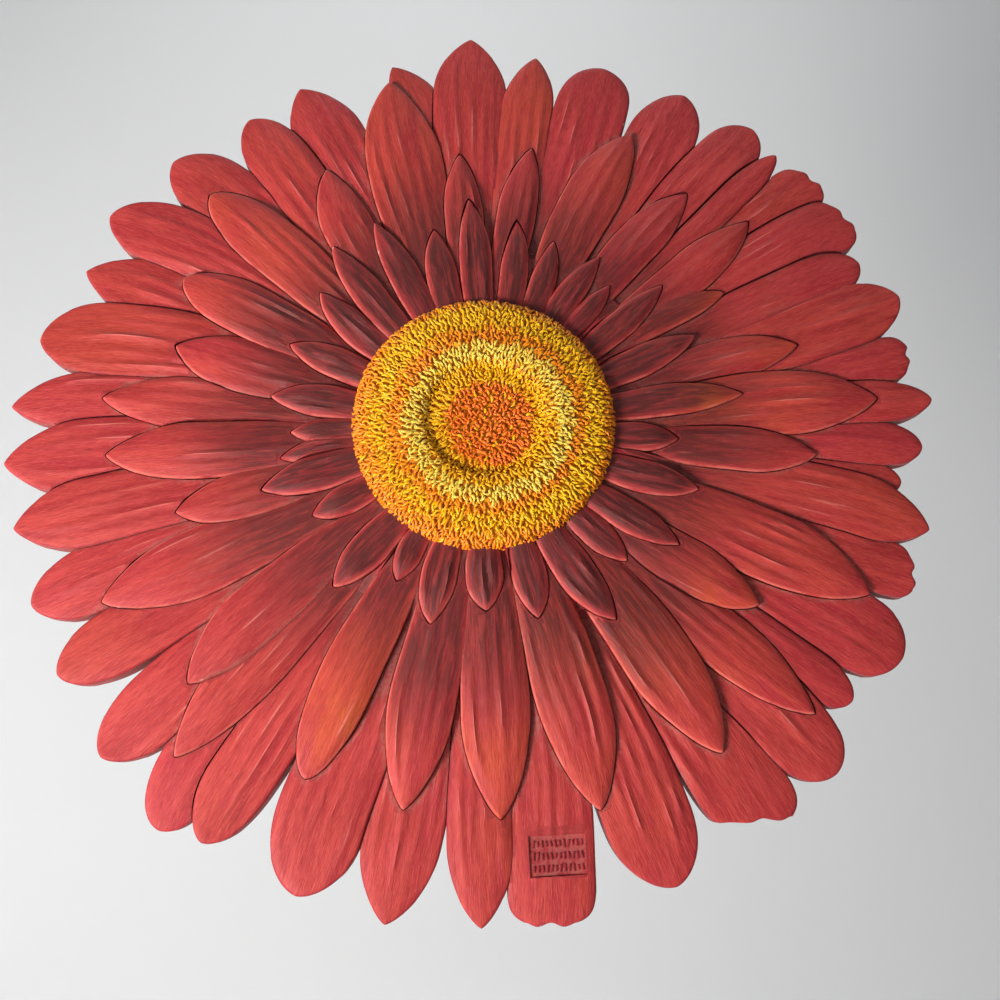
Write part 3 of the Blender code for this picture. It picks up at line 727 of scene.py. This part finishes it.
def add_wash(mesh):
    """How strongly the dark wash lies at each point: over the inner petals and the roots of the others."""
    points = mesh_points(mesh)
    radius = np.hypot(points[:, 0], points[:, 2]) / FLOWER_RADIUS
    ring = np.round(read_mask(mesh, "ring"))
    index = read_mask(mesh, "index")
    vary = 0.05 * np.sin(index * 2.399)
    outer = 1.0 - smooth_step(0.42, 0.68, radius + vary)
    inner = 0.95 - 0.35 * smooth_step(0.40, 0.60, radius)
    wash = np.where(ring == 3, inner, 0.85 * outer)
    write_mask(mesh, "wash", wash)


def levels():
    """The petals from the lowest to the highest, in groups that are laid at one go."""
    groups = {}
    index = 0
    for ring, petals in PETALS:
        for petal in petals:
            index += 1
            storey = sum(petal[5] >= limit for limit in LEVEL_LIMITS)
            level = (ring["number"], storey)
            groups.setdefault(level, []).append((index, ring, petal))
    return [groups[level] for level in sorted(groups)]


def make_relief(materials):
    """The whole casting as one closed mesh: petals laid level by level over the ground, cut flat behind."""
    rng = np.random.RandomState(7)
    joined = new_collection("Petals to join")
    cutters = new_collection("Cutters")
    relief = make_ground(bpy.context.scene.collection)
    relief.name = "plaque_relief"
    for material in materials:
        relief.data.materials.append(material)
    for level in levels():
        for index, ring, petal in level:
            behind = 1.5 * MM + 0.01 * MM * index
            outline = make_petal(f"petal_{index}", ring, petal, index, behind, rng, joined)
            make_groove(f"groove_{index}", outline, cutters)
        boolean(relief, "DIFFERENCE", cutters)
        boolean(relief, "UNION", joined)
    make_eye(joined)
    boolean(relief, "UNION", joined)
    side = 3.0 * FLOWER_RADIUS
    make_block("wall_side", (side, side, side), (0.0, 0.0, -0.5 * side), cutters, slot=BACK)
    make_field(cutters)
    make_keyhole(cutters)
    boolean(relief, "DIFFERENCE", cutters)
    make_strokes(joined, rng)
    boolean(relief, "UNION", joined)
    for group in (joined, cutters):
        bpy.data.collections.remove(group)
    mesh = relief.data
    mesh.name = "plaque_relief"
    add_hollow(mesh)
    add_wash(mesh)
    mesh.shade_smooth()
    mesh.set_sharp_from_angle(angle=math.radians(42.0))
    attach(relief, "root")
    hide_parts(NODE)
    return relief


def place_florets(rng):
    """Where each floret lies on the eye: radius, height and angle, and the eye's slope there."""
    path_radius, path_height = eye_path(400)
    step = np.hypot(np.diff(path_radius), np.diff(path_height))
    belts = math.pi * (path_radius[1:] + path_radius[:-1]) * step
    area = np.concatenate([[0.0], np.cumsum(belts)])
    steps = np.arange(len(area))
    wanted = (np.arange(FLORETS) + 0.5) / FLORETS * area[-1]
    place = np.interp(wanted, area, steps)
    place = np.clip(place + rng.uniform(-3.5, 3.5, FLORETS), 1.0, len(area) - 3.0)
    radius = np.interp(place, steps, path_radius)
    height = np.interp(place, steps, path_height)
    rise = np.interp(place + 4.0, steps, path_height) - height
    run = np.interp(place + 4.0, steps, path_radius) - radius
    slope = np.arctan2(rise, np.maximum(run, -0.2 * MM))
    aside = rng.uniform(-0.7, 0.7, FLORETS) * 0.8 * MM
    angle = np.arange(FLORETS) * GOLDEN_ANGLE + aside / np.maximum(radius, MM)
    return radius, height, angle, slope


def rod_points(base, forward, across, up, core, rng):
    """Rings of points along each floret, and how far along it each of them lies."""
    length = FLORET_LENGTH * rng.uniform(0.65, 1.35, FLORETS) * (1.0 - 0.25 * core)
    width = FLORET_WIDTH * rng.uniform(0.75, 1.25, FLORETS)
    lift = FLORET_LIFT * rng.uniform(0.55, 1.25, FLORETS)
    bend = rng.uniform(-0.85, 0.85, FLORETS) * length
    points, tips = [], []
    for station, height_share, fat in FLORET_STATIONS:
        along = forward * ((station - 0.5) * length)[:, None]
        centre = base + along + up * (height_share * lift)[:, None]
        centre = centre + across * (bend * (station - 0.5) ** 2 * 2.0)[:, None]
        turns = [0.0] if fat == 0.0 else np.arange(FLORET_SIDES) * 2.0 * math.pi / FLORET_SIDES
        for turn in turns:
            ring = centre + across * (math.cos(turn) * fat * width)[:, None]
            ring = ring + up * (math.sin(turn) * fat * 0.8 * width)[:, None]
            points.append(ring)
            tips.append(np.full(FLORETS, station))
    return np.stack(points, 1), np.stack(tips, 1)


def rod_faces(each):
    """The faces of one floret: a fan at its root, rings of sides, and a fan at its tip."""
    sides, rings = FLORET_SIDES, len(FLORET_STATIONS) - 2
    pattern = [[0, 1 + k, 1 + (k + 1) % sides] for k in range(sides)]
    for ring in range(rings - 1):
        for k in range(sides):
            low, high = 1 + ring * sides, 1 + (ring + 1) * sides
            after = (k + 1) % sides
            pattern.append([low + k, high + k, high + after, low + after])
    last = 1 + (rings - 1) * sides
    pattern += [[last + k, each - 1, last + (k + 1) % sides] for k in range(sides)]
    return pattern


def make_florets(material):
    """The eye's florets: short bent rods that lie outwards along it like scales, tumbled at the core."""
    rng = np.random.RandomState(11)
    radius, height, angle, slope = place_florets(rng)
    core = 1.0 - smooth_step(8.0 * MM, 15.0 * MM, radius)
    yaw = rng.normal(0.0, 1.0, FLORETS) * (0.42 + 0.9 * core)
    outward = [np.cos(angle) * np.cos(slope), np.sin(angle) * np.cos(slope), np.sin(slope)]
    up = [-np.cos(angle) * np.sin(slope), -np.sin(angle) * np.sin(slope), np.cos(slope)]
    outward, up = np.stack(outward, -1), np.stack(up, -1)
    side = np.cross(up, outward)
    forward = outward * np.cos(yaw)[:, None] + side * np.sin(yaw)[:, None]
    base = np.stack([radius * np.cos(angle), radius * np.sin(angle) + EYE_UP, height], -1)
    points, tips = rod_points(base, forward, np.cross(up, forward), up, core, rng)
    each = points.shape[1]
    points = points.reshape(-1, 3)

    shift = 2.0 * MM * (1.0 - smooth_step(22.0 * MM, 38.0 * MM, radius))
    ring_radius = np.hypot(radius * np.cos(angle) - shift, radius * np.sin(angle) + shift)
    masks = {
        "tip": tips.reshape(-1),
        "radius": np.repeat(ring_radius / MM, each),
        "chance": np.repeat(rng.uniform(0.0, 1.0, FLORETS), each),
        "turn": np.repeat(np.mod(angle, 2.0 * math.pi), each),
    }
    pattern = rod_faces(each)
    faces = [[each * n + v for v in face] for n in range(FLORETS) for face in pattern]
    mesh = make_mesh("eye_florets", world_points(points[:, 0], points[:, 1], points[:, 2]), faces, masks)
    turn_outwards(mesh)
    mesh.materials.append(material)
    mesh.shade_smooth()
    florets = make_object("eye_florets", mesh)
    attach(florets, "root")
    return florets


class Painter:
    """Builds a material's nodes: each method adds one kind of node and gives its output."""

    def __init__(self, name, roughness, specular):
        self.material = bpy.data.materials.new(name)
        self.material.use_nodes = True
        self.tree = self.material.node_tree
        self.shader = self.tree.nodes["Principled BSDF"]
        self.shader.inputs["Roughness"].default_value = roughness
        self.shader.inputs["Specular IOR Level"].default_value = specular

    def plug(self, socket, value):
        if isinstance(value, bpy.types.NodeSocket):
            self.tree.links.new(value, socket)
        elif isinstance(value, (tuple, list)) and len(value) == 3 and socket.type == "RGBA":
            socket.default_value = (*value, 1.0)
        else:
            socket.default_value = value

    def mask(self, name):
        node = self.tree.nodes.new("ShaderNodeAttribute")
        node.attribute_name = name
        return node.outputs["Fac"]

    def math(self, operation, *values):
        node = self.tree.nodes.new("ShaderNodeMath")
        node.operation = operation
        for socket, value in zip(node.inputs, values):
            self.plug(socket, value)
        return node.outputs[0]

    def times(self, first, second):
        return self.math("MULTIPLY", first, second)

    def between(self, value, low, high):
        """0 where the value is low, 1 where it is high, and a smooth change between."""
        node = self.tree.nodes.new("ShaderNodeMapRange")
        node.interpolation_type = "SMOOTHSTEP"
        self.plug(node.inputs["Value"], value)
        node.inputs["From Min"].default_value = low
        node.inputs["From Max"].default_value = high
        return node.outputs["Result"]

    def vector(self, x, y, z):
        node = self.tree.nodes.new("ShaderNodeCombineXYZ")
        for socket, value in zip(node.inputs, (x, y, z)):
            self.plug(socket, value)
        return node.outputs[0]

    def place(self):
        node = self.tree.nodes.new("ShaderNodeTexCoord")
        return node.outputs["Object"]

    def noise(self, vector, scale, detail=3.0, roughness=0.55, distortion=0.0):
        node = self.tree.nodes.new("ShaderNodeTexNoise")
        self.plug(node.inputs["Vector"], vector)
        node.inputs["Scale"].default_value = scale
        node.inputs["Detail"].default_value = detail
        node.inputs["Roughness"].default_value = roughness
        node.inputs["Distortion"].default_value = distortion
        return node.outputs["Fac"]

    def mix(self, factor, first, second):
        node = self.tree.nodes.new("ShaderNodeMix")
        node.data_type = "RGBA"
        self.plug(node.inputs[0], factor)
        self.plug(node.inputs[6], first)
        self.plug(node.inputs[7], second)
        return node.outputs[2]

    def coat(self, colour, mask, share, paint):
        """Lays this share of the paint over the colour where the mask is 1."""
        return self.mix(self.times(mask, share), colour, paint)

    def ramp(self, value, stops):
        node = self.tree.nodes.new("ShaderNodeValToRGB")
        self.plug(node.inputs[0], value)
        elements = node.color_ramp.elements
        while len(elements) < len(stops):
            elements.new(0.5)
        for element, (position, colour) in zip(elements, stops):
            element.position = position
            element.color = (*colour, 1.0)
        return node.outputs[0]

    def bump(self, height, distance, strength, normal=None):
        node = self.tree.nodes.new("ShaderNodeBump")
        node.inputs["Distance"].default_value = distance
        node.inputs["Strength"].default_value = strength
        self.plug(node.inputs["Height"], height)
        if normal:
            self.plug(node.inputs["Normal"], normal)
        return node.outputs[0]

    def finish(self, colour, roughness, normal):
        self.plug(self.shader.inputs["Base Color"], colour)
        self.plug(self.shader.inputs["Roughness"], roughness)
        self.plug(self.shader.inputs["Normal"], normal)
        return self.material


def petal_paint():
    """Red painted in streaks along each petal, a dark wash at the roots, painted highlights as lighter
    folds and edges, and painted shade as darker edges on the outer petals.
    """
    p = Painter("petal paint", 0.5, 0.24)
    across = p.times(p.mask("across"), 1000.0)
    along = p.times(p.mask("along"), 1000.0)
    index = p.times(p.mask("index"), 7.31)
    lengthwise = p.vector(across, p.times(along, 0.1), index)
    broad = p.noise(lengthwise, 0.28, 2.0, 0.5, 0.3)
    streak = p.noise(lengthwise, 0.85, 4.0, 0.62, 0.8)
    fine = p.noise(lengthwise, 2.6, 3.0, 0.6, 0.6)
    patch = p.noise(p.place(), 45.0, 3.0, 0.55, 0.2)
    hair = p.noise(p.vector(across, p.times(along, 0.055), index), 5.5, 2.0, 0.6, 0.3)
    grain = p.noise(p.place(), 900.0, 3.0, 0.6)
    whole = p.noise(p.vector(index, 0.0, 0.0), 1.7, 0.0)

    colour = p.mix(p.between(broad, 0.35, 0.65), (0.41, 0.027, 0.031), (0.54, 0.052, 0.048))
    colour = p.coat(colour, p.between(whole, 0.4, 0.7), 0.5, (0.48, 0.024, 0.048))
    colour = p.coat(colour, p.between(patch, 0.42, 0.72), 0.4, (0.35, 0.025, 0.024))
    dark_streak = p.times(p.between(streak, 0.5, 0.72), 0.6)
    colour = p.mix(dark_streak, colour, (0.24, 0.016, 0.02))
    light_streak = p.times(p.between(fine, 0.5, 0.76), 0.45)
    colour = p.mix(light_streak, colour, (0.62, 0.09, 0.076))

    warm_place = p.between(p.math("ADD", patch, p.times(broad, 0.5)), 0.45, 0.95)
    orange = p.times(p.mask("orange"), warm_place)
    colour = p.coat(colour, orange, 0.85, (0.62, 0.085, 0.026))
    ochre = p.times(p.between(p.mask("orange"), 0.6, 1.0), p.between(patch, 0.52, 0.66))
    colour = p.coat(colour, ochre, 0.2, (0.56, 0.21, 0.035))

    colour = p.coat(colour, p.between(hair, 0.5, 0.66), 0.42, (0.23, 0.013, 0.017))
    colour = p.coat(colour, p.between(hair, 0.47, 0.32), 0.38, (0.66, 0.11, 0.092))
    # Painted highlights: lighter paint along the folds, and a thin lighter line on each fold's crest
    brushed_fold_highlight = p.times(p.mask("rib"), p.between(streak, 0.3, 0.6))
    colour = p.coat(colour, brushed_fold_highlight, 0.28, (0.64, 0.1, 0.084))
    crest_highlight = p.times(p.between(p.mask("rib"), 0.76, 0.97), p.between(fine, 0.26, 0.5))
    colour = p.coat(colour, crest_highlight, 0.72, (0.74, 0.22, 0.185))

    smear = p.between(p.math("ADD", streak, p.times(fine, 0.25)), 0.4, 0.72)
    wash = p.times(p.mask("wash"), p.math("ADD", 0.45, p.times(smear, 0.55)))
    rubbed = p.between(p.mask("edge"), 0.0002, 0.0022)
    wash = p.times(wash, p.math("ADD", 0.16, p.times(rubbed, 0.84)))
    colour = p.mix(wash, colour, (0.088, 0.018, 0.017))
    ash = p.times(p.mask("wash"), p.between(hair, 0.56, 0.76))
    colour = p.coat(colour, ash, 0.28, (0.26, 0.1, 0.088))

    # Painted highlight and painted shade on the petals' edges: a lighter line on the inner rings' edges, a
    # darker red line on the outer petals' edges
    rim = p.math("SUBTRACT", 1.0, p.between(p.mask("edge"), 0.00015, 0.0009))
    rim = p.times(rim, p.between(p.noise(p.place(), 160.0, 3.0), 0.3, 0.58))
    rim_highlight_and_shade_colour = p.mix(p.between(p.mask("ring"), 0.2, 0.8), (0.27, 0.016, 0.03), (0.74, 0.17, 0.13))
    colour = p.coat(colour, rim, 0.65, rim_highlight_and_shade_colour)

    dust = p.mix(p.mask("wash"), (0.43, 0.125, 0.105), (0.17, 0.06, 0.052))
    dusty = p.times(p.between(p.mask("hollow"), 0.05, 0.55), p.between(grain, 0.3, 0.6))
    colour = p.coat(colour, dusty, 0.7, dust)
    glint = p.between(p.noise(p.place(), 330.0, 2.0), 0.7, 0.76)
    glint = p.times(p.times(glint, rim), p.mask("share"))
    colour = p.coat(colour, glint, 0.8, (0.85, 0.52, 0.48))

    roughness = p.math("ADD", 0.44, p.times(patch, 0.22))
    lines = p.bump(streak, 0.00034, 0.5)
    lines = p.bump(hair, 0.00016, 0.5, p.bump(fine, 0.00016, 0.5, lines))
    return p.finish(colour, roughness, p.bump(grain, 0.00006, 0.35, lines))


def groove_shade_paint():
    """Painted shade: a dark colour on the narrow grooves cut round the petals."""
    p = Painter("groove painted shade", 0.6, 0.2)
    speck = p.noise(p.place(), 420.0, 3.0)
    colour = p.mix(p.between(speck, 0.35, 0.65), (0.1, 0.012, 0.014), (0.23, 0.026, 0.026))
    return p.finish(colour, 0.6, p.bump(speck, 0.0001, 0.4))


def eye_ground_shade_paint():
    """Painted shade: the dark orange-brown that shows down between the florets."""
    p = Painter("eye ground painted shade", 0.6, 0.3)
    speck = p.noise(p.place(), 500.0, 3.0)
    colour = p.mix(p.between(speck, 0.35, 0.65), (0.42, 0.12, 0.004), (0.74, 0.3, 0.005))
    return p.finish(colour, 0.6, p.bump(speck, 0.0002, 0.5))


def floret_paint():
    """Rings of orange and yellow on the florets, with painted shade darker down between them, and so
    lighter on their ends.
    """
    p = Painter("floret paint", 0.4, 0.45)
    chance = p.mask("chance")
    wander = p.noise(p.place(), 130.0, 2.0)
    drift = p.math("ADD", p.times(p.math("SUBTRACT", chance, 0.5), 1.8),
                   p.times(p.math("SUBTRACT", wander, 0.5), 5.0))
    radius = p.math("ADD", p.mask("radius"), drift)
    red_orange, orange = (0.92, 0.19, 0.012), (0.92, 0.28, 0.003)
    gold, yellow = (0.93, 0.48, 0.003), (0.95, 0.53, 0.003)
    cream, deep = (0.93, 0.67, 0.09), (0.9, 0.28, 0.003)
    colour = p.ramp(p.math("DIVIDE", radius, 42.0), (
        (0.0, red_orange), (0.3, red_orange), (0.34, gold), (0.485, gold), (0.505, cream), (0.615, cream),
        (0.635, orange), (0.705, orange), (0.75, yellow), (0.87, yellow), (0.92, deep), (1.0, deep),
    ))
    low_left = p.math("COSINE", p.math("SUBTRACT", p.mask("turn"), math.radians(215.0)))
    side = p.times(p.between(radius, 32.0, 38.0), p.between(low_left, -0.2, 0.9))
    colour = p.coat(colour, side, 0.9, (0.93, 0.25, 0.003))
    colour = p.mix(p.between(chance, 0.9, 0.99), colour, yellow)
    # Painted shade: each floret darker towards its root, down between the florets
    down = p.math("SUBTRACT", 1.0, p.between(p.mask("tip"), 0.02, 0.5))
    colour = p.coat(colour, down, 0.45, (0.6, 0.19, 0.003))
    speck = p.noise(p.place(), 1400.0, 2.0)
    colour = p.coat(colour, p.between(speck, 0.55, 0.75), 0.25, (0.42, 0.13, 0.006))
    return p.finish(colour, 0.4, p.bump(speck, 0.00008, 0.4))


def bare_back():
    """The unpainted back, pale and slightly rough, as it was struck off flat in its mould."""
    p = Painter("bare back", 0.8, 0.3)
    cloud = p.noise(p.place(), 30.0, 4.0)
    pore = p.noise(p.place(), 650.0, 3.0)
    colour = p.mix(p.between(cloud, 0.3, 0.7), (0.56, 0.5, 0.43), (0.68, 0.63, 0.56))
    colour = p.coat(colour, p.between(pore, 0.6, 0.72), 0.5, (0.33, 0.28, 0.23))
    return p.finish(colour, 0.8, p.bump(pore, 0.00015, 0.4))


def plain(name, colour, roughness):
    p = Painter(name, roughness, 0.2)
    mottle = p.noise(p.place(), 3.0, 3.0)
    mottled = p.mix(mottle, colour, [0.97 * c for c in colour])
    return p.finish(mottled, roughness, p.bump(mottle, 0.0002, 0.1))


def make_stage():
    """A pale wall well behind the plaque that sweeps into a pale floor well below it."""
    wall_distance, floor_depth, sweep, half_width = 0.8, 0.62, 0.45, 3.0
    outline = [(-3.0, -floor_depth)]
    for k in range(25):
        angle = 0.5 * math.pi * k / 24
        outline.append((
            wall_distance - sweep + sweep * math.sin(angle),
            -floor_depth + sweep - sweep * math.cos(angle)))
    outline.append((wall_distance, 3.0))
    points = [(side * half_width, y, z) for y, z in outline for side in (-1.0, 1.0)]
    faces = [(2 * k, 2 * k + 1, 2 * k + 3, 2 * k + 2) for k in range(len(outline) - 1)]
    mesh = bpy.data.meshes.new("backdrop")
    mesh.from_pydata(points, [], faces)
    turn_outwards(mesh)
    mesh.shade_smooth()
    mesh.materials.append(plain("pale backdrop", (0.8, 0.805, 0.815), 0.9))
    backdrop = make_object("backdrop", mesh)


def make_area_light(name, place, target, size, power, colour):
    light = bpy.data.lights.new(name, "AREA")
    light.shape = "RECTANGLE"
    light.size, light.size_y = size
    light.energy = power
    light.color = colour
    obj = make_object(name, light)
    obj.location = place
    direction = [t - p for t, p in zip(target, place)]
    obj.rotation_mode = "QUATERNION"
    obj.rotation_quaternion = Vector(direction).to_track_quat("-Z", "Y")
    obj.visible_camera = False
    return obj


def make_lights():
    """A soft key from the lower left, as in the photograph, a weak fill, and lights for the stage."""
    middle, white = (0.0, 0.0, 0.0), (1.0, 1.0, 1.0)
    wall_size = (0.6, 0.6)
    make_area_light("key", (-0.62, -0.48, -0.42), middle, (0.26, 0.2), 10.7, (1.0, 0.975, 0.94))
    make_area_light("fill", (0.5, -1.2, 0.7), middle, (1.0, 1.0), 1.6, (0.95, 0.97, 1.0))
    make_area_light("wall_light", (-1.10, 0.1, 0.05), (-0.2, 0.8, 0.05), wall_size, 3.6, white)
    make_area_light("wall_wash", (-0.08, 0.05, 1.10), (0.1, 0.8, 0.3), wall_size, 3.0, white)
    make_area_light("behind", (0.05, 0.74, 0.1), middle, (0.3, 0.3), 1.8, white)
    make_area_light("ceiling", (0.0, 0.4, 2.8), (0.0, 0.4, 0.0), (5.0, 4.0), 34.0, white)
    world = bpy.data.worlds.new("pale room")
    bpy.context.scene.world = world
    world.use_nodes = True
    background = world.node_tree.nodes["Background"]
    background.inputs["Color"].default_value = (0.8, 0.82, 0.85, 1.0)
    background.inputs["Strength"].default_value = 0.11


def make_camera():
    """The photograph's camera, held above the flower's lower edge and looking across its face."""
    camera_data = bpy.data.cameras.new("camera")
    camera_data.sensor_width = 36.0
    camera_data.lens = 37.8
    camera_data.clip_start = 0.01
    camera = make_object("camera", camera_data)
    camera.location = (-0.00207, -0.32755, -0.10742)
    camera.rotation_euler = (math.radians(90.0 + 15.21), 0.0, math.radians(-1.31))
    bpy.context.scene.camera = camera
    bpy.context.scene.view_settings.view_transform = "Standard"


def main():
    make_camera()
    make_lights()
    make_stage()
    make_relief([petal_paint(), eye_ground_shade_paint(), bare_back(), groove_shade_paint()])
    make_florets(floret_paint())


main()
